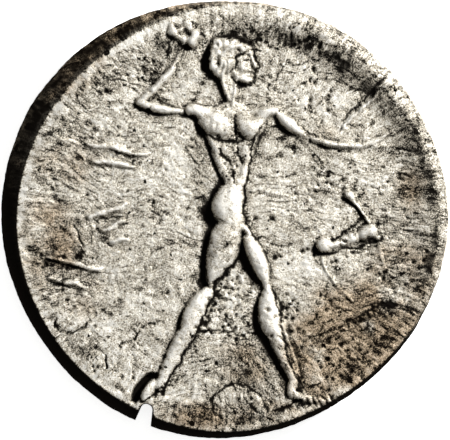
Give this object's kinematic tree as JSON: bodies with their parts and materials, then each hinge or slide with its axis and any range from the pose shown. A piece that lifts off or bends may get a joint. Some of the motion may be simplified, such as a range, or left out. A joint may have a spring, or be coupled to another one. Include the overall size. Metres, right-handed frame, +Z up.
{
  "type": "ancient silver stater coin",
  "caption": "Worn ancient silver coin with a striding figure and a small stag in relief, a raised rim, an uneven edge and an open edge crack.",
  "frame": {"origin": "under the middle of the coin's bounding box, on the surface that its underside rim rests on", "axes": "+Z up through the coin's thickness, out of the face with the striding figure; +Y towards the figure's head; +X the way the figure strides"},
  "size_m": [0.021, 0.0206, 0.003],
  "materials": {
    "worn_silver": "satin"
  },
  "bodies": {
    "root": {"coin": "worn_silver"}
  },
  "joints": []
}
